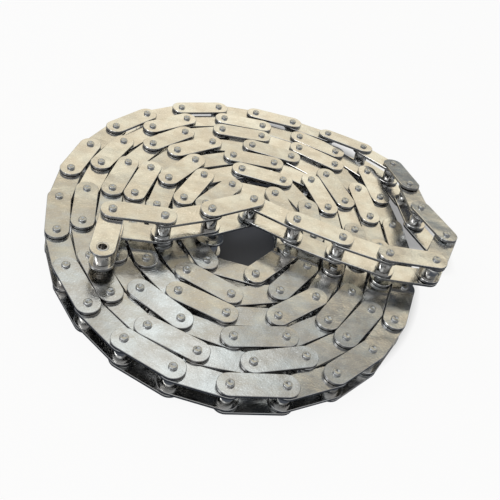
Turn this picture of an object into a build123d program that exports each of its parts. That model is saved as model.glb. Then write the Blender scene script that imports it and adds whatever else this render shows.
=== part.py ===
from build123d import *
import cmath
import math
import os

# A straight-side-plate, double-pitch conveyor chain wound flat into an oval coil.
# The pins stand upright. The outer end climbs over the coil and lies across it as a free strand.
# Millimetres and degrees. The floor is at z = 0. Plan positions are complex numbers, x + iy.

# Link plates
PITCH = 31.75
PLATE_DEPTH = 15.0
PLATE_THICKNESS = 2.03
INNER_WIDTH = 9.4  # clear width between the two inner plates
SIDE_GAP = 0.4  # from an inner plate to the outer plate beside it

# Pins, bushes and rollers
PIN_DIAMETER = 5.08
HEAD_DIAMETER = 5.8
HEAD_HEIGHT = 1.3
HEAD_EDGE = 0.7  # rounding of a riveted head
BUSH_DIAMETER = 7.1
ROLLER_DIAMETER = 10.16
ROLLER_CHAMFER = 0.4

# Fits, all radial or per side
PRESS_FIT = 0.01  # pins in outer plates and bushes in inner plates
PIN_PLAY = 0.06  # pin in the bush of a link that swings
COIL_PLAY = 0.3  # pin in the bush where the wound chain climbs and each joint tips
ROLLER_PLAY = 0.1
ROLLER_END_PLAY = 0.15

# Winding
TURNS_ACROSS = 7  # turns side by side from the coil's open middle out to the first turn
MIDDLE_HALF_WIDTH = 18.7  # of the coil's open middle
MIDDLE_HALF_LENGTH = 35.6
START_ANGLE = 79.7  # place of the joint where the first turn leaves the climb
TURN_GAP = 0.2  # between the plates of neighbouring turns
CLIMB_GAP = 1.2  # from a climbing link, whose plates lean, to the turn inside it
FIRST_TURN_SWEEP = 265.0  # laid on the oval, before links are laid against the turn outside
COIL_SWEEP = 2350.0  # of all links from the climb's foot to the coil's inner end
OUTWARD_LIMIT = -10.0  # a wound link never turns outward by more than this
SHARPEST_TURN = 95.0  # where no turn up to this one clears, the coil ends

# Climb and free strand, from the first turn's start to the free end
LAY_GAP = 0.4  # from the coil's pin heads up to the strand's
CLIMB_TILTS = (1, 2, 3, 4, 4, 3, 2, 1)  # steepness of each climbing link, in equal shares
CLIMB_HEADING = -82.0  # the way that the climbing links' planes rise
OUTER_TURNS = (-11, -12, -7, -22, -29, -9, 19, -48, -63, -16, -4, -6, 57, -6, -23, 86)
SWINGING_LINKS = 8  # links of the strand past the last joint that is part of the coil
TAIL_LINKS = 2  # links at the coil's inner end with room to swing

# The joint line where the first turn starts, and how far it closes in over a full circle
TURN_PITCH = PLATE_DEPTH + TURN_GAP
OVAL_HALF_WIDTH = MIDDLE_HALF_WIDTH + TURNS_ACROSS * TURN_PITCH
OVAL_HALF_LENGTH = MIDDLE_HALF_LENGTH + TURNS_ACROSS * TURN_PITCH
CLOSING_IN = PLATE_DEPTH + TURN_GAP / 2

# Levels above a link's middle plane
INNER_FACE = INNER_WIDTH / 2
INNER_TOP = INNER_FACE + PLATE_THICKNESS
OUTER_FACE = INNER_TOP + SIDE_GAP
OUTER_TOP = OUTER_FACE + PLATE_THICKNESS
PIN_END = OUTER_TOP + HEAD_HEIGHT
CHAIN_WIDTH = 2 * PIN_END
CLIMB = CHAIN_WIDTH + LAY_GAP


def on_oval(angle):
    """Point of the first turn, which closes in steadily as it goes round."""
    closed_in = CLOSING_IN * (angle - math.radians(START_ANGLE)) / math.tau
    return complex(
        (OVAL_HALF_WIDTH - closed_in) * math.cos(angle),
        (OVAL_HALF_LENGTH - closed_in) * math.sin(angle),
    )


def one_pitch_on(angle):
    """Angle of the next joint on the oval, one pitch from the joint at this angle."""
    near, far = angle, angle + math.radians(60)
    for _ in range(40):
        middle = (near + far) / 2
        if abs(on_oval(middle) - on_oval(angle)) < PITCH:
            near = middle
        else:
            far = middle
    return far


def headings(first):
    """Plan heading of each link from the first turn's start to the free end, in radians."""
    result = [first + math.radians(OUTER_TURNS[0])]
    for turn in OUTER_TURNS[1:]:
        result.append(result[-1] + math.radians(turn))
    return result


def climb_gradients(outward):
    """Slope vector of each link's plane. Neighbours differ by one share, in one direction."""
    uphill = cmath.rect(1, math.radians(CLIMB_HEADING))
    along = [math.cos(heading - cmath.phase(uphill)) for heading in outward]
    share = CLIMB / PITCH / sum(tilt * part for tilt, part in zip(CLIMB_TILTS, along))
    for _ in range(5):
        slopes = [math.atan(share * tilt * part) for tilt, part in zip(CLIMB_TILTS, along)]
        share *= CLIMB / PITCH / sum(math.sin(slope) for slope in slopes)
    flat = [0j] * (len(outward) - len(CLIMB_TILTS))
    return [share * tilt * uphill for tilt in CLIMB_TILTS] + flat


def outer_end(first, second):
    """Joints and heights from the first turn's start to the free end, and the links' slopes."""
    outward = headings(cmath.phase(first - second))
    gradients = climb_gradients(outward)
    joints, heights = [first], [0.0]
    for heading, gradient in zip(outward, gradients):
        direction = cmath.rect(1, heading)
        slope = math.atan((gradient * direction.conjugate()).real)
        joints.append(joints[-1] + PITCH * math.cos(slope) * direction)
        heights.append(heights[-1] + PITCH * math.sin(slope))
    return joints[1:], heights[1:], gradients


def distance_to_link(point, start, end):
    along = ((point - start) * (end - start).conjugate()).real / abs(end - start) ** 2
    return abs(point - start - min(1, max(0, along)) * (end - start))


def clears(start, end, laid):
    """True if a link's plates keep their gap to every link laid before its neighbour."""
    samples = [start + (end - start) * step / 8 for step in range(9)]
    for number, (other_start, other_end) in enumerate(zip(laid[:-2], laid[1:-1])):
        if abs(start - other_start) > 3 * PITCH:
            continue
        needed = PLATE_DEPTH + (CLIMB_GAP if number < len(CLIMB_TILTS) - 1 else TURN_GAP)
        if min(distance_to_link(s, other_start, other_end) for s in samples) < needed:
            return False
        if min(distance_to_link(p, start, end) for p in (other_start, other_end)) < needed:
            return False
    return True


def first_turn(climbing):
    """Joints on the oval, no further round than the climbing links beside them allow."""
    angle = math.radians(START_ANGLE)
    joints = [on_oval(angle)]
    while angle < math.radians(START_ANGLE + FIRST_TURN_SWEEP):
        angle = one_pitch_on(angle)
        if not clears(joints[-1], on_oval(angle), climbing + joints):
            break
        joints.append(on_oval(angle))
    return joints


def turned_link(joints, turn):
    """End of a link that turns by this angle from the last link laid."""
    heading = cmath.phase(joints[-1] - joints[-2]) + math.radians(turn)
    return joints[-1] + cmath.rect(PITCH, heading)


def swept(joints):
    """Angle that a run of joints sweeps round the coil's middle, in degrees."""
    steps = (after / before for before, after in zip(joints, joints[1:]))
    return math.degrees(sum(cmath.phase(step) for step in steps))


def wind_inward(laid):
    """Lay links one by one, each as far out as the turn outside it lets it go."""
    joints = list(laid)
    while swept(joints) < COIL_SWEEP:
        turn = OUTWARD_LIMIT
        while turn < SHARPEST_TURN and not clears(joints[-1], turned_link(joints, turn), joints):
            turn += 1
        if turn >= SHARPEST_TURN:
            break
        blocked, clear = turn - 1, turn
        for _ in range(8):
            middle = (blocked + clear) / 2
            if clears(joints[-1], turned_link(joints, middle), joints):
                clear = middle
            else:
                blocked = middle
        joints.append(turned_link(joints, clear))
    return joints


def lay_chain():
    """Joint centres at mid width, from the free end inward, and the slope of each link."""
    start = math.radians(START_ANGLE)
    outside, heights, gradients = outer_end(on_oval(start), on_oval(one_pitch_on(start)))
    climbing = outside[: len(CLIMB_TILTS) - 1][::-1]
    coil = wind_inward(climbing + first_turn(climbing))[len(climbing) :]
    plan = outside[::-1] + coil
    plan = plan[: len(plan) // 2 * 2]  # both end links are inner links
    levels = heights[::-1] + [0.0] * len(coil)
    reach_x = [p.real for p in plan]
    reach_y = [p.imag for p in plan]
    centre = complex(min(reach_x) + max(reach_x), min(reach_y) + max(reach_y)) / 2
    joints = [
        Vector((p - centre).real, (p - centre).imag, PIN_END + level)
        for p, level in zip(plan, levels)
    ]
    return joints, gradients[::-1] + [0j] * len(coil)


JOINTS, GRADIENTS = lay_chain()
FIRST_COIL_LINK = SWINGING_LINKS
LAST_COIL_LINK = len(JOINTS) - 2 - TAIL_LINKS


def link_place(index):
    """Where a link's master goes: its middle at the origin, its pins along X, its faces up."""
    start, end = JOINTS[index], JOINTS[index + 1]
    upright = Vector(-GRADIENTS[index].real, -GRADIENTS[index].imag, 1)
    return Plane(origin=(start + end) / 2, x_dir=end - start, z_dir=upright).location


def joint_place(link, joint):
    """Where a roller's master goes: at a joint, square to the link that carries it."""
    return Location(tuple(JOINTS[joint]), tuple(link_place(link).orientation))


def is_outer(index):
    return index % 2 == 1


def plate(hole_diameter, level):
    """A straight-sided link plate with round ends, its lower face at this level."""
    with BuildPart() as piece:
        with BuildSketch(Plane.XY.offset(level)):
            SlotCenterToCenter(PITCH, PLATE_DEPTH)
            with GridLocations(PITCH, 0, 2, 1):
                Circle(hole_diameter / 2, mode=Mode.SUBTRACT)
        extrude(amount=PLATE_THICKNESS)
    return piece


def pins():
    """The two riveted pins of an outer link."""
    with BuildPart() as piece:
        with BuildSketch(Plane.XY.offset(-OUTER_TOP)):
            with GridLocations(PITCH, 0, 2, 1):
                Circle(PIN_DIAMETER / 2)
        extrude(amount=2 * OUTER_TOP)
        for side in (1, -1):
            with BuildSketch(Plane.XY.offset(side * OUTER_TOP)):
                with GridLocations(PITCH, 0, 2, 1):
                    Circle(HEAD_DIAMETER / 2)
            extrude(amount=side * HEAD_HEIGHT)
        ends = piece.faces().filter_by(Axis.Z).group_by(Axis.Z)
        fillet(ends[-1].edges() + ends[0].edges(), radius=HEAD_EDGE)
    return piece


def bushes():
    """The two bushes of an inner link, flush with its plates."""
    with BuildPart() as piece:
        with BuildSketch(Plane.XY.offset(-INNER_TOP)):
            with GridLocations(PITCH, 0, 2, 1):
                Circle(BUSH_DIAMETER / 2)
                Circle(PIN_DIAMETER / 2 + PIN_PLAY, mode=Mode.SUBTRACT)
        extrude(amount=2 * INNER_TOP)
    return piece


def roller():
    with BuildPart() as piece:
        length = INNER_WIDTH - 2 * ROLLER_END_PLAY
        with BuildSketch(Plane.XY.offset(-length / 2)):
            Circle(ROLLER_DIAMETER / 2)
        extrude(amount=length)
        chamfer(piece.edges(), length=ROLLER_CHAMFER)
        Hole(BUSH_DIAMETER / 2 + ROLLER_PLAY)
    return piece


def wound_outer_link():
    """An outer link of the coil, which is one piece: two plates riveted on two pins."""
    with BuildPart() as piece:
        for side in (1, -1):
            with BuildSketch(Plane.XY.offset(side * OUTER_FACE)):
                SlotCenterToCenter(PITCH, PLATE_DEPTH)
            extrude(amount=side * PLATE_THICKNESS)
            with BuildSketch(Plane.XY.offset(side * OUTER_TOP)):
                with GridLocations(PITCH, 0, 2, 1):
                    Circle(HEAD_DIAMETER / 2)
            extrude(amount=side * HEAD_HEIGHT)
        with BuildSketch(Plane.XY.offset(-OUTER_FACE)):
            with GridLocations(PITCH, 0, 2, 1):
                Circle(PIN_DIAMETER / 2)
        extrude(amount=2 * OUTER_FACE)
    return piece


def wound_inner_link():
    """An inner link of the coil, which is one piece: two plates, two bushes and two rollers."""
    with BuildPart() as piece:
        for side in (1, -1):
            with BuildSketch(Plane.XY.offset(side * INNER_FACE)):
                SlotCenterToCenter(PITCH, PLATE_DEPTH)
            extrude(amount=side * PLATE_THICKNESS)
        with BuildSketch(Plane.XY.offset(-INNER_FACE)):
            with GridLocations(PITCH, 0, 2, 1):
                Circle(ROLLER_DIAMETER / 2)
        extrude(amount=INNER_WIDTH)
        with GridLocations(PITCH, 0, 2, 1):
            Hole(PIN_DIAMETER / 2 + COIL_PLAY)
    return piece


def write_node(label, master, places):
    """One node: a copy of the master at each place."""
    with BuildPart() as node:
        with Locations(*places):
            add(master.part)
    node.part.label = label
    export_step(node.part, f"parts/{label}.step")


OUTER_UPPER = plate(PIN_DIAMETER + 2 * PRESS_FIT, OUTER_FACE)
OUTER_LOWER = plate(PIN_DIAMETER + 2 * PRESS_FIT, -OUTER_TOP)
INNER_UPPER = plate(BUSH_DIAMETER + 2 * PRESS_FIT, INNER_FACE)
INNER_LOWER = plate(BUSH_DIAMETER + 2 * PRESS_FIT, -INNER_TOP)
PINS = pins()
BUSHES = bushes()
ROLLER = roller()
WOUND_OUTER = wound_outer_link()
WOUND_INNER = wound_inner_link()


def write_link(name, index):
    """The separate pieces of a link that swings."""
    place = link_place(index)
    if is_outer(index):
        write_node(f"{name}_upper_plate", OUTER_UPPER, [place])
        write_node(f"{name}_lower_plate", OUTER_LOWER, [place])
        write_node(f"{name}_pins", PINS, [place])
        return
    write_node(f"{name}_upper_plate", INNER_UPPER, [place])
    write_node(f"{name}_lower_plate", INNER_LOWER, [place])
    write_node(f"{name}_bushes", BUSHES, [place])
    write_node(f"{name}_roller_a", ROLLER, [joint_place(index, index + 1)])
    write_node(f"{name}_roller_b", ROLLER, [joint_place(index, index)])


def turn_numbers():
    """Which turn of the coil each wound link is in, counted from the outside."""
    middle = sum((JOINTS[k] for k in range(FIRST_COIL_LINK, len(JOINTS))), Vector(0, 0, 0))
    middle = middle / (len(JOINTS) - FIRST_COIL_LINK)
    swept, numbers = 0.0, {}
    for index in range(FIRST_COIL_LINK, LAST_COIL_LINK + 1):
        spoke, following = (
            complex((JOINTS[k] - middle).X, (JOINTS[k] - middle).Y) for k in (index, index + 1)
        )
        swept += cmath.phase(following / spoke)
        numbers[index] = int(swept / math.tau) + 1
    return numbers


os.makedirs("parts", exist_ok=True)

for number in range(1, SWINGING_LINKS + 1):
    write_link(f"strand_{number}", SWINGING_LINKS - number)

for number in range(1, TAIL_LINKS + 1):
    write_link(f"tail_{number}", LAST_COIL_LINK + number)

TURNS = turn_numbers()
for turn in range(1, max(TURNS.values()) + 1):
    links = [index for index in TURNS if TURNS[index] == turn]
    outer = [link_place(index) for index in links if is_outer(index)]
    inner = [link_place(index) for index in links if not is_outer(index)]
    write_node(f"turn_{turn}_outer_links", WOUND_OUTER, outer)
    write_node(f"turn_{turn}_inner_links", WOUND_INNER, inner)
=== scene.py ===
import math
import random

import bpy
import numpy as np
from mathutils import Matrix, Vector


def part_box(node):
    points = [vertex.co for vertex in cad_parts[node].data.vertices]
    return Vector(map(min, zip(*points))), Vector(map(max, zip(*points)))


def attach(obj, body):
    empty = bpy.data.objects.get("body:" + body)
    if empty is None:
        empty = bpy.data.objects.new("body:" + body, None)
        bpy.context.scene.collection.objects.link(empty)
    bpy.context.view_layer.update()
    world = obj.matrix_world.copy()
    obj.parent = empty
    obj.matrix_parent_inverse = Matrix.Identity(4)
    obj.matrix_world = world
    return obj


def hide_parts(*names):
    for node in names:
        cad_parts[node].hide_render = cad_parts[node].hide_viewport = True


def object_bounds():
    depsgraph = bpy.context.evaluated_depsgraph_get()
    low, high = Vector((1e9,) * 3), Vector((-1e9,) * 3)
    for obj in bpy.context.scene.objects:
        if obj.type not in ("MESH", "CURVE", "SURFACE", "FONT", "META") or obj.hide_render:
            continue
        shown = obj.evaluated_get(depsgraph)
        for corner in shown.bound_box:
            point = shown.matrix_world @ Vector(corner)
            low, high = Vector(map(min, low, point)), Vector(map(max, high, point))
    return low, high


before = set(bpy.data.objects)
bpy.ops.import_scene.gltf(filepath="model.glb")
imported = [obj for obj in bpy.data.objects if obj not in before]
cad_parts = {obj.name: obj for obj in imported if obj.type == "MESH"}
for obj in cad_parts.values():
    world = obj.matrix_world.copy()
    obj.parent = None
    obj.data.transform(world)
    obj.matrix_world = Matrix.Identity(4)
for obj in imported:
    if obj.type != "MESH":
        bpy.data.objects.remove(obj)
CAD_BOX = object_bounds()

# Stainless conveyor chain, wound flat into an oval coil whose outer end lies back across it.
# Lengths are in metres, and angles in degrees.
MM = 0.001
PITCH = 31.75 * MM
PLATE_DEPTH = 15.0 * MM
PLATE_THICKNESS = 2.03 * MM
PLATE_EDGE = 0.25 * MM  # broken edge of a blanked plate
INNER_FACE = 4.7 * MM  # from a link's middle plane up to the inner plate
INNER_TOP = INNER_FACE + PLATE_THICKNESS
OUTER_FACE = INNER_TOP + 0.4 * MM
OUTER_TOP = OUTER_FACE + PLATE_THICKNESS
PIN_RADIUS = 2.54 * MM
HEAD_RADIUS = 2.64 * MM
BUSH_RADIUS = 3.55 * MM
BUSH_BORE = 2.6 * MM
BUSH_CHAMFER = 0.12 * MM
ROLLER_RADIUS = 5.08 * MM
ROLLER_END = 4.55 * MM  # from a link's middle plane up to a roller's end
ROLLER_BORE = 3.65 * MM
ROLLER_CHAMFER = 0.4 * MM

# A pin's spun end, ring by ring: the rise over the last ring in mm, and its size against that one
UPPER_HEAD = [(0.80, 1), (0.30, 0.93), (0.16, 0.82), (0.04, 0.76), (-0.16, 0.74), (-0.14, 0.4)]
LOWER_HEAD = [(-0.70, 1), (-0.40, 0.88), (-0.20, 0.70)]

# Sides of the round forms. The coil repeats the plate, the pin and the wound roller many times
PLATE_SIDES = 32  # both ends of a plate together
HOLE_SIDES = 24
PIN_SIDES = 16
BUSH_SIDES = 28
ROLLER_SIDES = 32
WOUND_ROLLER_SIDES = 24
SHARP = math.radians(60)  # an edge that turns by more than this is broken
FLAT = math.radians(1)  # faces that meet at less than this are one
SQUARE = 0.02  # two directions whose product is under this are square to each other
MERGE = 1e-6  # points closer than this are one

# How links lean, as a slope in X and Y, which their shading follows
PLAY_LEAN = 0.018  # spread of the lean that a link's play allows
STRAND_LEAN = Vector((0.01, 0.045, 0))  # the strand, which sags over the coil
FIRST_PLATE_LEAN = Vector((0.03, -0.05, 0))  # the plate over the strand's first joint
FIRST_PLATE_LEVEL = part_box("strand_1_pins")[1].z - 2 * PLATE_THICKNESS
CLIMB_LEAN = Vector((0.02, 0.15, 0))  # the links that come down from the strand
CLIMB_LEVEL = 0.026  # middle height from which a link of the coil is one of those
random.seed(31)

OUTER_LINKS, INNER_LINKS = "_outer_links", "_inner_links"
TURNS = sorted(n.removesuffix(OUTER_LINKS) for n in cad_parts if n.endswith(OUTER_LINKS))
STRAND = [f"strand_{number}" for number in range(1, 9)]
TAIL = ["tail_1", "tail_2"]


# ---- Finishes

WARM_SMEAR, MILKY_SMEAR = (0.595, 0.58, 0.56), (0.67, 0.69, 0.695)
# painted glints: fine white dots in the plate's colour stand for tiny sparkles of light
GLINT_SPECK = (0.90, 0.92, 0.93)
# painted shade: the upright sides of the plates are darkened as if neighbouring plates shadowed
# them
SIDE_PAINTED_SHADE = (0.29, 0.295, 0.30)
SHEARED_DULLNESS = 0.16  # roughness that a sheared side has over a rolled face
PIN_COLOUR = (0.47, 0.48, 0.485)
BUSH_COLOUR = (0.55, 0.54, 0.53)
ROLLER_COLOUR = (0.72, 0.715, 0.70)
# How a pattern is drawn out: along a plate, where it was rubbed and where it was scratched, and
# round a bush or a roller
RUBBED_ALONG, SCRATCHED_ALONG = (1, 9, 1), (1, 30, 1)
ROUND_BUSH, ROUND_ROLLER = (0.1, 0.1, 1), (0.05, 0.05, 1)


def new_finish(name):
    """A metal finish, its node tree and its shader."""
    finish = bpy.data.materials.new(name)
    finish.use_nodes = True
    tree = finish.node_tree
    shader = tree.nodes["Principled BSDF"]
    shader.inputs["Metallic"].default_value = 1.0
    return finish, tree, shader


def noise(tree, scale, detail=2.0, stretch=(1, 1, 1), source="Object"):
    """Noise on these coordinates, in cycles per unit of them."""
    place = tree.nodes.new("ShaderNodeTexCoord")
    mapping = tree.nodes.new("ShaderNodeMapping")
    mapping.inputs["Scale"].default_value = stretch
    texture = tree.nodes.new("ShaderNodeTexNoise")
    texture.inputs["Scale"].default_value = scale
    texture.inputs["Detail"].default_value = detail
    tree.links.new(place.outputs[source], mapping.inputs["Vector"])
    tree.links.new(mapping.outputs["Vector"], texture.inputs["Vector"])
    return texture.outputs["Fac"]


def spread(tree, value, span, result=(0, 1)):
    """A value moved from one span to another and held at both ends."""
    node = tree.nodes.new("ShaderNodeMapRange")
    node.inputs["From Min"].default_value, node.inputs["From Max"].default_value = span
    node.inputs["To Min"].default_value, node.inputs["To Max"].default_value = result
    tree.links.new(value, node.inputs["Value"])
    return node.outputs["Result"]


def combined(tree, operation, first, second):
    """Two values put together, each a number or a socket."""
    node = tree.nodes.new("ShaderNodeMath")
    node.operation = operation
    for socket, value in zip(node.inputs, (first, second)):
        if isinstance(value, float):
            socket.default_value = value
        else:
            tree.links.new(value, socket)
    return node.outputs[0]


def tint(tree, value, low, high):
    """A colour between two, each a colour or a socket, by a value from 0 to 1."""
    node = tree.nodes.new("ShaderNodeMix")
    node.data_type = "RGBA"
    for socket, colour in ((node.inputs["A"], low), (node.inputs["B"], high)):
        if isinstance(colour, tuple):
            socket.default_value = (*colour, 1)
        else:
            tree.links.new(colour, socket)
    tree.links.new(value, node.inputs["Factor"])
    return node.outputs["Result"]


def relief(tree, height, strength, distance, onto=None):
    """Bumps of this height, on the bare surface or onto other relief."""
    node = tree.nodes.new("ShaderNodeBump")
    node.inputs["Strength"].default_value = strength
    node.inputs["Distance"].default_value = distance
    tree.links.new(height, node.inputs["Height"])
    if onto is not None:
        tree.links.new(onto, node.inputs["Normal"])
    return node.outputs["Normal"]


def marking(tree, name):
    """What a piece's mesh says in one of its attributes."""
    node = tree.nodes.new("ShaderNodeAttribute")
    node.attribute_name = name
    return node


def leaning(tree):
    """The surface's own direction, leant as its link leans in the wound chain."""
    surface = tree.nodes.new("ShaderNodeNewGeometry")
    turned = tree.nodes.new("ShaderNodeVectorTransform")
    turned.vector_type, turned.convert_from, turned.convert_to = "VECTOR", "OBJECT", "WORLD"
    leant = tree.nodes.new("ShaderNodeVectorMath")
    leant.operation = "ADD"
    unit = tree.nodes.new("ShaderNodeVectorMath")
    unit.operation = "NORMALIZE"
    tree.links.new(marking(tree, "lean").outputs["Vector"], turned.inputs[0])
    tree.links.new(surface.outputs["Normal"], leant.inputs[0])
    tree.links.new(turned.outputs[0], leant.inputs[1])
    tree.links.new(leant.outputs[0], unit.inputs[0])
    return unit.outputs[0]


def rolled_plate_steel():
    """Bright rolled strip: milky smears, painted glints as fine white dots, scratches along it,
    dents and long low waves.
    The blanked sides are duller, and darker with painted shade."""
    finish, tree, shader = new_finish("rolled_plate_steel")
    # The upright sides: duller where they were sheared, and darker with painted shade
    sheared_and_shaded = marking(tree, "side").outputs["Fac"]

    smears = spread(tree, noise(tree, scale=75, detail=9), (0.42, 0.64))
    # Painted glints: fine white dots in the plate's colour, where tiny sparkles would catch the
    # light
    glint_specks = spread(tree, noise(tree, scale=1100, detail=1), (0.62, 0.74), (0, 0.5))
    face = tint(tree, glint_specks, tint(tree, smears, WARM_SMEAR, MILKY_SMEAR), GLINT_SPECK)
    tree.links.new(tint(tree, sheared_and_shaded, face, SIDE_PAINTED_SHADE), shader.inputs["Base Color"])

    rubbed = noise(tree, scale=20, detail=4, stretch=RUBBED_ALONG, source="UV")
    worn = combined(tree, "MULTIPLY", rubbed, noise(tree, scale=130, detail=6))
    polish = spread(tree, worn, (0.15, 0.38), (0.06, 0.24))
    duller = combined(tree, "MULTIPLY", sheared_and_shaded, SHEARED_DULLNESS)
    tree.links.new(combined(tree, "ADD", polish, duller), shader.inputs["Roughness"])

    waves = relief(tree, noise(tree, scale=52), 1.0, 0.5 * MM, leaning(tree))
    dents = relief(tree, noise(tree, scale=800, detail=4), 0.6, 0.08 * MM, waves)
    scratches = noise(tree, scale=26, detail=4, stretch=SCRATCHED_ALONG, source="UV")
    tree.links.new(relief(tree, scratches, 0.3, 0.04 * MM, dents), shader.inputs["Normal"])
    return finish


def riveted_pin_steel():
    """Pin ends that were spun over: darker than the plates, with small dents."""
    finish, tree, shader = new_finish("riveted_pin_steel")
    shader.inputs["Base Color"].default_value = (*PIN_COLOUR, 1)
    dents = noise(tree, scale=650, detail=4)
    tree.links.new(spread(tree, dents, (0.3, 0.7), (0.10, 0.28)), shader.inputs["Roughness"])
    tree.links.new(relief(tree, dents, 0.8, 0.3 * MM), shader.inputs["Normal"])
    return finish


def turned_bush_steel():
    """Drawn tube: faint rings, a little duller than the rollers."""
    finish, tree, shader = new_finish("turned_bush_steel")
    shader.inputs["Base Color"].default_value = (*BUSH_COLOUR, 1)
    rings = noise(tree, scale=1200, stretch=ROUND_BUSH)
    tree.links.new(relief(tree, rings, 0.2, 0.03 * MM), shader.inputs["Normal"])
    polish = spread(tree, noise(tree, scale=300, detail=4), (0.3, 0.7), (0.12, 0.3))
    tree.links.new(polish, shader.inputs["Roughness"])
    return finish


def polished_roller_steel():
    """Ground and polished rollers with faint rings from running."""
    finish, tree, shader = new_finish("polished_roller_steel")
    shader.inputs["Base Color"].default_value = (*ROLLER_COLOUR, 1)
    rings = noise(tree, scale=900, stretch=ROUND_ROLLER)
    tree.links.new(relief(tree, rings, 0.15, 0.03 * MM), shader.inputs["Normal"])
    polish = spread(tree, noise(tree, scale=160, detail=3), (0.35, 0.7), (0.04, 0.12))
    tree.links.new(polish, shader.inputs["Roughness"])
    return finish


PLATE_STEEL = rolled_plate_steel()
PIN_STEEL = riveted_pin_steel()
BUSH_STEEL = turned_bush_steel()
ROLLER_STEEL = polished_roller_steel()


# ---- Shaping, as at the bench


def deselect():
    if bpy.context.object and bpy.context.object.mode != "OBJECT":
        bpy.ops.object.mode_set(mode="OBJECT")
    bpy.ops.object.select_all(action="DESELECT")


def pick_all():
    bpy.ops.object.mode_set(mode="EDIT")
    bpy.ops.mesh.select_all(action="SELECT")


def add_cylinder(name, radius, depth, sides):
    deselect()
    bpy.ops.mesh.primitive_cylinder_add(vertices=sides, radius=radius, depth=depth)
    piece = bpy.context.object
    piece.name = piece.data.name = name
    return piece


def pick_faces(piece, test):
    """Selects, for edit mode, only the faces whose middle and normal pass the test."""
    bpy.ops.object.mode_set(mode="EDIT")
    bpy.ops.mesh.select_mode(type="FACE")
    bpy.ops.mesh.select_all(action="DESELECT")
    bpy.ops.object.mode_set(mode="OBJECT")
    for face in piece.data.polygons:
        face.select = test(face.center, face.normal)
    bpy.ops.object.mode_set(mode="EDIT")


def pick_edges(piece, test):
    """Selects, for edit mode, only the edges whose two ends pass the test."""
    bpy.ops.object.mode_set(mode="EDIT")
    bpy.ops.mesh.select_mode(type="EDGE")
    bpy.ops.mesh.select_all(action="DESELECT")
    bpy.ops.object.mode_set(mode="OBJECT")
    points = piece.data.vertices
    for edge in piece.data.edges:
        edge.select = all(test(points[end].co) for end in edge.vertices)
    bpy.ops.object.mode_set(mode="EDIT")


def apply_modifier(piece, kind, **settings):
    bpy.ops.object.mode_set(mode="OBJECT")
    bpy.context.view_layer.objects.active = piece
    modifier = piece.modifiers.new(kind.title(), kind)
    for key, value in settings.items():
        setattr(modifier, key, value)
    bpy.ops.object.modifier_apply(modifier=modifier.name)


def break_edges(piece, width, segments=1):
    apply_modifier(
        piece, "BEVEL", width=width, segments=segments, limit_method="ANGLE", angle_limit=SHARP
    )


def close_shape(piece, smooth_to):
    """Turns the normals out and smooths the round sides, where faces turn by less than this."""
    pick_all()
    bpy.ops.mesh.normals_make_consistent(inside=False)
    bpy.ops.object.mode_set(mode="OBJECT")
    deselect()
    piece.select_set(True)
    bpy.context.view_layer.objects.active = piece
    bpy.ops.object.shade_smooth_by_angle(angle=math.radians(smooth_to))


def grow(rings):
    """Extrudes what is selected through rings of (height above the last, scale of the last)."""
    for rise, scale in rings:
        bpy.ops.mesh.extrude_region_move(TRANSFORM_OT_translate={"value": (0, 0, rise)})
        bpy.ops.transform.resize(value=(scale, scale, 1))


def lay_grain_along(piece):
    """A flat UV map of the plate, so that its rolled grain runs along it."""
    layer = piece.data.uv_layers.active or piece.data.uv_layers.new(name="grain")
    for loop in piece.data.loops:
        point = piece.data.vertices[loop.vertex_index].co
        layer.data[loop.index].uv = (point.x / PITCH, point.y / PITCH)


def mark_sides(piece):
    """Marks the upright faces that the blanking tool cut, for the finish to dull and to darken
    with painted shade.
    """
    layer = piece.data.attributes.new("side", "FLOAT", "FACE")
    upright = [float(abs(face.normal.z) < 0.5) for face in piece.data.polygons]
    layer.data.foreach_set("value", upright)


def cut_holes(piece, radius):
    """Bores both ends of a plate."""
    for side in (1, -1):
        drill = add_cylinder("drill", radius, 3 * PLATE_THICKNESS, HOLE_SIDES)
        drill.location.x = side * PITCH / 2
        deselect()
        piece.select_set(True)
        apply_modifier(piece, "BOOLEAN", operation="DIFFERENCE", object=drill, solver="EXACT")
        bpy.data.objects.remove(drill)


# ---- Masters, each at the origin with the link along X


def plate(name, hole_radius=None):
    """A link plate: half a disc, drawn out to the middle and mirrored."""
    blank = add_cylinder(name, PLATE_DEPTH / 2, PLATE_THICKNESS, PLATE_SIDES)
    pick_all()
    bpy.ops.mesh.bisect(plane_co=(0, 0, 0), plane_no=(1, 0, 0), clear_inner=True)
    bpy.ops.mesh.select_all(action="SELECT")
    bpy.ops.transform.translate(value=(PITCH / 2, 0, 0))
    pick_edges(blank, lambda point: abs(point.x - PITCH / 2) < MERGE)
    bpy.ops.mesh.extrude_region_move(TRANSFORM_OT_translate={"value": (-PITCH / 2, 0, 0)})
    apply_modifier(blank, "MIRROR", use_clip=True, merge_threshold=MERGE)
    pick_all()
    bpy.ops.mesh.remove_doubles(threshold=MERGE)
    bpy.ops.mesh.dissolve_limited(angle_limit=FLAT)
    bpy.ops.object.mode_set(mode="OBJECT")
    if hole_radius:
        cut_holes(blank, hole_radius)
    break_edges(blank, PLATE_EDGE)
    close_shape(blank, 35)
    lay_grain_along(blank)
    mark_sides(blank)
    blank.data.materials.append(PLATE_STEEL)
    return blank


def rivet_pin(name):
    """A pin with both ends spun over: a low dome with a dimple where the tool ran."""
    pin = add_cylinder(name, PIN_RADIUS, 2 * OUTER_TOP, PIN_SIDES)
    flare = HEAD_RADIUS / PIN_RADIUS
    for side, rings in ((1, UPPER_HEAD), (-1, LOWER_HEAD)):
        pick_faces(pin, lambda middle, normal: normal.z * side > 0.9 and middle.z * side > 0)
        grow([(0, flare)] + [(rise * MM, scale) for rise, scale in rings])
    close_shape(pin, 42)
    pin.data.materials.append(PIN_STEEL)
    return pin


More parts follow.
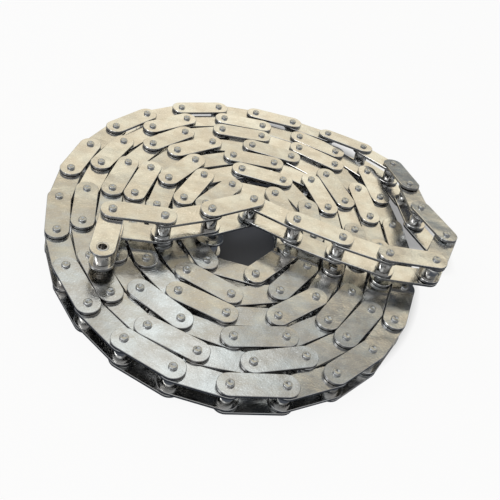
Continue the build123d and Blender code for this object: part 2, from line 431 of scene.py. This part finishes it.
def tube(name, radius, half_length, bore, chamfer, sides, finish):
    """A bush or a roller: a cylinder with broken ends and a bore right through."""
    body = add_cylinder(name, radius, 2 * half_length, sides)
    break_edges(body, chamfer, segments=2)
    on_axis = 0.01 * MM
    pick_faces(
        body,
        lambda middle, normal: abs(normal.z) > 0.99 and math.hypot(middle.x, middle.y) < on_axis,
    )
    bpy.ops.mesh.inset(thickness=radius - chamfer - bore)
    bpy.ops.mesh.bridge_edge_loops()
    close_shape(body, 50)
    body.data.materials.append(finish)
    return body


def wound_roller(name):
    """A roller of the coil, closed at its ends, which its link's plates cover."""
    body = add_cylinder(name, ROLLER_RADIUS, 2 * ROLLER_END, WOUND_ROLLER_SIDES)
    break_edges(body, ROLLER_CHAMFER)
    close_shape(body, 50)
    body.data.materials.append(ROLLER_STEEL)
    return body


PLATE = plate("link_plate")
BORED_PLATE = plate("bored_link_plate", BUSH_RADIUS)
PIN = rivet_pin("rivet_pin")
BUSH = tube("bush", BUSH_RADIUS, INNER_TOP, BUSH_BORE, BUSH_CHAMFER, BUSH_SIDES, BUSH_STEEL)
ROLLER = tube(
    "roller", ROLLER_RADIUS, ROLLER_END, ROLLER_BORE, ROLLER_CHAMFER, ROLLER_SIDES, ROLLER_STEEL
)
WOUND_ROLLER = wound_roller("wound_roller")
MASTERS = [PLATE, BORED_PLATE, PIN, BUSH, ROLLER, WOUND_ROLLER]


# ---- Where the links are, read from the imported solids


def face_table(mesh):
    """Every triangle's unit normal and area."""
    count = len(mesh.polygons)
    normals, areas = np.zeros(3 * count), np.zeros(count)
    mesh.polygons.foreach_get("normal", normals)
    mesh.polygons.foreach_get("area", areas)
    return normals.reshape(-1, 3), areas


def broadest(normals, areas, allowed):
    """The direction that the largest area of flat faces looks along, either way."""
    totals = {}
    for normal, area in zip(normals[allowed], areas[allowed]):
        if normal[np.argmax(np.abs(normal))] < 0:
            normal = -normal
        key = tuple(np.round(normal, 2))
        total, summed = totals.get(key, (0.0, np.zeros(3)))
        totals[key] = (total + area, summed + area * normal)
    _, summed = max(totals.values(), key=lambda entry: entry[0])
    return summed / np.linalg.norm(summed)


def place_of(mesh):
    """A link solid's own place: its middle, its length along X and its plates facing Z."""
    normals, areas = face_table(mesh)
    up = broadest(normals, areas, np.ones(len(areas), bool))
    up = up if up[2] > 0 else -up
    across = broadest(normals, areas, np.abs(normals @ up) < SQUARE)
    along = np.cross(across, up)
    axes = np.array([along / np.linalg.norm(along), across, up])
    points = np.array([vertex.co for vertex in mesh.vertices]) @ axes.T
    middle = (points.min(0) + points.max(0)) / 2 @ axes
    place = Matrix(axes.T.tolist()).to_4x4()
    place.translation = Vector(middle)
    return place


def solids_of(node):
    """The place of every solid in a CAD node, from a merged and parted copy of it."""
    deselect()
    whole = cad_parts[node].copy()
    whole.data = whole.data.copy()
    whole.parent = None
    bpy.context.collection.objects.link(whole)
    whole.select_set(True)
    bpy.context.view_layer.objects.active = whole
    pick_all()
    bpy.ops.mesh.remove_doubles(threshold=MERGE / 10)
    bpy.ops.mesh.separate(type="LOOSE")
    bpy.ops.object.mode_set(mode="OBJECT")
    solids = list(bpy.context.selected_objects)
    places = [place_of(solid.data) for solid in solids]
    for solid in solids:
        bpy.data.objects.remove(solid)
    return places


# ---- Setting copies in place


def lean_mesh(mesh, lean):
    """Writes how far this copy leans on its points, for its finish to read."""
    layer = mesh.attributes.new("lean", "FLOAT_VECTOR", "POINT")
    layer.data.foreach_set("vector", list(lean) * len(mesh.vertices))


def lean_of(place, body):
    """How a link leans: a little either way in its play, and more in the strand and the climb.
    Off the strand the solid's own tilt is taken off, so that this is the link's whole lean."""
    play = Vector((random.gauss(0, PLAY_LEAN), random.gauss(0, PLAY_LEAN), 0))
    height = place.translation.z
    if body == STRAND[0] and height > FIRST_PLATE_LEVEL:
        return FIRST_PLATE_LEAN + play
    if body in STRAND:
        return STRAND_LEAN + play
    facing = place.to_3x3() @ Vector((0, 0, 1))
    climbing = body == "coil" and height > CLIMB_LEVEL
    wanted = CLIMB_LEAN if climbing else Vector((0, 0, 0))
    return wanted + play - Vector((facing.x, facing.y, 0))


def set_copies(name, master, places, body, node):
    """One piece of the chain: a copy of the master at each place, joined."""
    copies = []
    for place in places:
        copy = bpy.data.objects.new(name, master.data.copy())
        bpy.context.collection.objects.link(copy)
        copy.data.transform(place)
        lean_mesh(copy.data, lean_of(place, body))
        copies.append(copy)
    deselect()
    for copy in copies:
        copy.select_set(True)
    bpy.context.view_layer.objects.active = copies[0]
    if len(copies) > 1:
        bpy.ops.object.join()
    piece = copies[0]
    piece.name = piece.data.name = name
    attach(piece, body)
    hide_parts(node)


def at(place, x=0.0, z=0.0):
    """A place moved along its own link and up from it."""
    return place @ Matrix.Translation((x, 0, z))


def both_ends(places):
    """The places of the two joints of every link."""
    return [at(place, x=side * PITCH / 2) for place in places for side in (1, -1)]


def dress_turn(turn):
    """The links of one turn of the coil."""
    outer, inner = turn + OUTER_LINKS, turn + INNER_LINKS
    outer_places, inner_places = solids_of(outer), solids_of(inner)
    rows = (("outer", outer, outer_places, OUTER_TOP), ("inner", inner, inner_places, INNER_TOP))
    for kind, node, places, top in rows:
        level = top - PLATE_THICKNESS / 2
        for side, label in ((1, "upper"), (-1, "lower")):
            plates = [at(place, z=side * level) for place in places]
            name = f"{turn}_{kind}_{label}_plates"
            set_copies(name, PLATE, plates, "coil", node)
    set_copies(f"{turn}_rivet_pins", PIN, both_ends(outer_places), "coil", outer)
    rollers = both_ends(inner_places)
    set_copies(f"{turn}_rollers", WOUND_ROLLER, rollers, "coil", inner)


def dress_swinging_link(link):
    """A link that turns on the next: its plates, and its pins or its bushes and rollers."""
    upper = place_of(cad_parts[f"{link}_upper_plate"].data)
    lower = place_of(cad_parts[f"{link}_lower_plate"].data)
    middle = upper.copy()
    middle.translation = (upper.translation + lower.translation) / 2
    ends = both_ends([middle])
    riveted = f"{link}_pins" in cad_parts
    master = PLATE if riveted else BORED_PLATE
    for place, label in ((upper, "upper"), (lower, "lower")):
        node = f"{link}_{label}_plate"
        set_copies(f"{link}_{label}_link_plate", master, [place], link, node)
    if riveted:
        set_copies(f"{link}_rivet_pins", PIN, ends, link, f"{link}_pins")
        return
    set_copies(f"{link}_bush_pair", BUSH, ends, link, f"{link}_bushes")
    for label in ("a", "b"):
        node = f"{link}_roller_{label}"
        low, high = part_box(node)
        place = middle.copy()
        place.translation = (low + high) / 2
        name = f"{link}_running_roller_{label}"
        set_copies(name, ROLLER, [place], node, node)


for turn in TURNS:
    dress_turn(turn)
for link in STRAND + TAIL:
    dress_swinging_link(link)
for master in MASTERS:
    bpy.data.objects.remove(master)


# ---- Floor

FLOOR_SIZE = 30
FLOOR_WHITE = (0.9, 0.9, 0.9)
# painted shade: the floor's colour under the coil and under the climbing links
FLOOR_SHADED = (0.13, 0.135, 0.15)
FLOOR_GLOW = 0.92  # share of plain white in the floor that the camera sees
STEEL_SEES = (1, 1, 1)  # the floor far away, as the steel mirrors it
# painted shade: the floor near the coil, as the steel mirrors it, glows dark
STEEL_SEES_PAINTED_SHADE = (0.09, 0.10, 0.12)
# Shares of the coil's half width and half length between which something on the floor fades out
SHADE_EDGE = (0.80, 0.92)
CLIMB_SHADE_EDGE = (0.98, 1.07)
MIRRORED_SHADE_EDGE = (1.2, 4.0)
CLIMB_SHADE_MIDDLE = (0.012, 0.012)
CLIMB_SHADE_START = (-0.02, 0.01)  # along Y
CLIMB_SHADE_DEPTH = 0.7


def oval(tree, place, edge, middle=(0, 0)):
    """1 inside an oval of the coil's shape and 0 outside, fading between these shares of it."""
    half_width, half_length = [(high - low) / 2 for low, high in zip(*CAD_BOX)][:2]
    scaled = tree.nodes.new("ShaderNodeMapping")
    scaled.inputs["Scale"].default_value = (1 / half_width, 1 / half_length, 0)
    moved = (-middle[0] / half_width, -middle[1] / half_length, 0)
    scaled.inputs["Location"].default_value = moved
    reach = tree.nodes.new("ShaderNodeVectorMath")
    reach.operation = "LENGTH"
    tree.links.new(place, scaled.inputs["Vector"])
    tree.links.new(scaled.outputs["Vector"], reach.inputs[0])
    return spread(tree, reach.outputs["Value"], edge, (1, 0))


def floor():
    """A white studio floor, with painted shade under the coil and a painted shadow under the
    climbing links, and painted dark near the coil where the steel mirrors it. It keeps the
    object's shadow.
    """
    deselect()
    bpy.ops.mesh.primitive_plane_add(size=FLOOR_SIZE)
    ground = bpy.context.object
    ground.name = "studio_floor"
    paint = bpy.data.materials.new("studio_white")
    paint.use_nodes = True
    tree = paint.node_tree
    matt = tree.nodes["Principled BSDF"]
    matt.inputs["Roughness"].default_value = 0.9
    matt.inputs["Specular IOR Level"].default_value = 0.0

    place = tree.nodes.new("ShaderNodeTexCoord").outputs["Object"]
    split = tree.nodes.new("ShaderNodeSeparateXYZ")
    tree.links.new(place, split.inputs[0])
    # Painted shade under the coil, and a painted shadow under the climbing links, darken the
    # floor's colour and take away its white glow
    painted_shade_below_coil = oval(tree, place, SHADE_EDGE)
    behind = spread(tree, split.outputs["Y"], CLIMB_SHADE_START, (0, CLIMB_SHADE_DEPTH))
    painted_shadow_below_climb = oval(tree, place, CLIMB_SHADE_EDGE, CLIMB_SHADE_MIDDLE)
    painted_shadow_below_climb = combined(tree, "MULTIPLY", painted_shadow_below_climb, behind)
    shade = combined(tree, "MAXIMUM", painted_shade_below_coil, painted_shadow_below_climb)
    tree.links.new(tint(tree, shade, FLOOR_WHITE, FLOOR_SHADED), matt.inputs["Base Color"])

    path = tree.nodes.new("ShaderNodeLightPath")
    from_camera, from_steel = path.outputs["Is Camera Ray"], path.outputs["Is Glossy Ray"]
    open_floor = combined(tree, "SUBTRACT", 1.0, shade)
    seen = combined(tree, "MULTIPLY", from_camera, open_floor)
    seen = combined(tree, "MULTIPLY", seen, FLOOR_GLOW)
    # Painted shade for the steel to mirror: the floor glows dark near the coil
    mirrored_painted_shade = combined(tree, "MULTIPLY", from_steel, oval(tree, place, MIRRORED_SHADE_EDGE))
    glow = tree.nodes.new("ShaderNodeEmission")
    tree.links.new(tint(tree, mirrored_painted_shade, STEEL_SEES, STEEL_SEES_PAINTED_SHADE), glow.inputs["Color"])
    mix = tree.nodes.new("ShaderNodeMixShader")
    tree.links.new(combined(tree, "ADD", seen, from_steel), mix.inputs[0])
    tree.links.new(matt.outputs[0], mix.inputs[1])
    tree.links.new(glow.outputs[0], mix.inputs[2])
    tree.links.new(mix.outputs[0], tree.nodes["Material Output"].inputs["Surface"])
    ground.data.materials.append(paint)


# ---- The room, which the steel mirrors

ROOM_TURN = 15.0  # from +Y towards +X, to the cream wall beyond the coil
ROOM_LIGHT = 1.3
BACKDROP = (0.98, 0.98, 0.98)  # what the camera itself sees past the floor
CREAM_EDGE = (0.25, 0.5)  # share of a direction that points at the cream wall where it fades in
# Height of a direction, from 0 level to 1 straight up, and the room's colour there
CREAM_WALL = (
    (0.26, (0.20, 0.215, 0.22)), (0.38, (0.72, 0.65, 0.50)), (0.50, (0.92, 0.83, 0.65)),
    (0.57, (0.84, 0.75, 0.565)), (0.635, (0.92, 0.83, 0.64)), (0.68, (0.66, 0.615, 0.505)),
    (0.73, (0.455, 0.455, 0.425)), (0.79, (0.46, 0.475, 0.465)), (1.0, (0.41, 0.42, 0.42)),
)
PLAIN_WALL = (
    (0.0, (0.16, 0.16, 0.165)), (0.3, (0.27, 0.27, 0.275)), (0.7, (0.44, 0.44, 0.44)),
    (1.0, (0.40, 0.405, 0.41)),
)
# Places that are brighter or duller than the wall: by how much, and their edges, each given by
# where it starts and where it is full, across the room to the right or in height
ROOM_LIGHTS = {
    "high window": (
        0.9375, ("height", 0.68, 0.80), ("across", 0.08, -0.06), ("across", -0.32, -0.20)
    ),
    "pane": (0.45, ("height", 0.775, 0.80), ("across", -0.09, -0.05), ("across", 0.06, 0.02)),
    "sunny wall": (0.13, ("across", 0.06, 0.14), ("height", 0.66, 0.62)),
    "dim right": (-0.55, ("across", 0.06, 0.25), ("height", 0.62, 0.69)),
    "dull left": (
        -0.27, ("across", -0.19, -0.23), ("height", 0.585, 0.61), ("height", 0.68, 0.655)
    ),
}


def wall(tree, height, bands):
    """The colour of a wall by height."""
    ramp = tree.nodes.new("ShaderNodeValToRGB")
    elements = ramp.color_ramp.elements
    while len(elements) < len(bands):
        elements.new(0.5)
    for element, (level, colour) in zip(elements, bands):
        element.position = level
        element.color = (*colour, 1)
    tree.links.new(height, ramp.inputs["Fac"])
    return ramp.outputs["Color"]


def studio_air():
    """A plain room: grey walls, and a cream one beyond the coil, darker low down."""
    world = bpy.data.worlds.new("studio_air")
    bpy.context.scene.world = world
    world.use_nodes = True
    tree = world.node_tree
    way = tree.nodes.new("ShaderNodeTexCoord")
    turned = tree.nodes.new("ShaderNodeMapping")
    turned.inputs["Rotation"].default_value[2] = math.radians(ROOM_TURN)
    split = tree.nodes.new("ShaderNodeSeparateXYZ")
    tree.links.new(way.outputs["Generated"], turned.inputs["Vector"])
    tree.links.new(turned.outputs["Vector"], split.inputs["Vector"])
    across, ahead, height = split.outputs

    beyond = spread(tree, ahead, CREAM_EDGE)
    colour = tint(tree, beyond, wall(tree, height, PLAIN_WALL), wall(tree, height, CREAM_WALL))
    directions = {"across": across, "height": height}
    level = 1.0
    for strength, *edges in ROOM_LIGHTS.values():
        light = strength
        for direction, start, full in edges:
            edge = spread(tree, directions[direction], (start, full))
            light = combined(tree, "MULTIPLY", light, edge)
        level = combined(tree, "ADD", level, light)
    patches = noise(tree, scale=5, detail=1, source="Generated")
    uneven = spread(tree, patches, (0.3, 0.7), (0.8, 1.2))
    level = combined(tree, "MULTIPLY", uneven, level)

    background = tree.nodes["Background"]
    tree.links.new(colour, background.inputs["Color"])
    brightness = combined(tree, "MULTIPLY", level, ROOM_LIGHT)
    tree.links.new(brightness, background.inputs["Strength"])
    backdrop = tree.nodes.new("ShaderNodeBackground")
    backdrop.inputs["Color"].default_value = (*BACKDROP, 1)
    path = tree.nodes.new("ShaderNodeLightPath")
    seen = tree.nodes.new("ShaderNodeMixShader")
    tree.links.new(path.outputs["Is Camera Ray"], seen.inputs[0])
    tree.links.new(background.outputs[0], seen.inputs[1])
    tree.links.new(backdrop.outputs[0], seen.inputs[2])
    tree.links.new(seen.outputs[0], tree.nodes["World Output"].inputs["Surface"])


# ---- Lamp and camera

KEY_PLACE, KEY_AIM = (-0.75, -0.15, 0.95), (0, 0, 0.02)
KEY_SIZE = 0.45
KEY_BRIGHTNESS = 3.0  # of the lamp's face, where 1 is white
KEY_COLOUR = (1.0, 0.99, 0.97)
CAMERA_PLACE = (-0.0892, -0.3409, 0.3090)
CAMERA_HEADING = 15.23  # from +Y towards +X
CAMERA_DIP = 42.11  # below the horizon
CAMERA_ROLL = 15.69
CAMERA_LENS, CAMERA_SENSOR = 47.69, 36  # both in millimetres, as the camera takes them
NEAREST, FARTHEST = 0.01, 50  # what the camera sees lies between these


def key_box():
    """The one soft lamp, up and to the left."""
    data = bpy.data.lights.new("key_box", "AREA")
    data.shape = "RECTANGLE"
    data.size = data.size_y = KEY_SIZE
    data.energy = KEY_BRIGHTNESS * math.pi * KEY_SIZE * KEY_SIZE
    data.color = KEY_COLOUR
    lamp = bpy.data.objects.new("key_box", data)
    lamp.location = KEY_PLACE
    aim = Vector(KEY_AIM) - Vector(KEY_PLACE)
    lamp.rotation_euler = aim.to_track_quat("-Z", "Y").to_euler()
    bpy.context.collection.objects.link(lamp)


def camera():
    data = bpy.data.cameras.new("camera")
    data.lens, data.sensor_width = CAMERA_LENS, CAMERA_SENSOR
    data.clip_start, data.clip_end = NEAREST, FARTHEST
    eye = bpy.data.objects.new("camera", data)
    turn = Matrix.Rotation(math.radians(-CAMERA_HEADING), 4, "Z")
    dip = Matrix.Rotation(math.radians(90 - CAMERA_DIP), 4, "X")
    roll = Matrix.Rotation(math.radians(CAMERA_ROLL), 4, "Z")
    eye.matrix_world = Matrix.Translation(CAMERA_PLACE) @ turn @ dip @ roll
    bpy.context.collection.objects.link(eye)
    bpy.context.scene.camera = eye


floor()
studio_air()
key_box()
camera()
bpy.context.scene.view_settings.view_transform = "Standard"
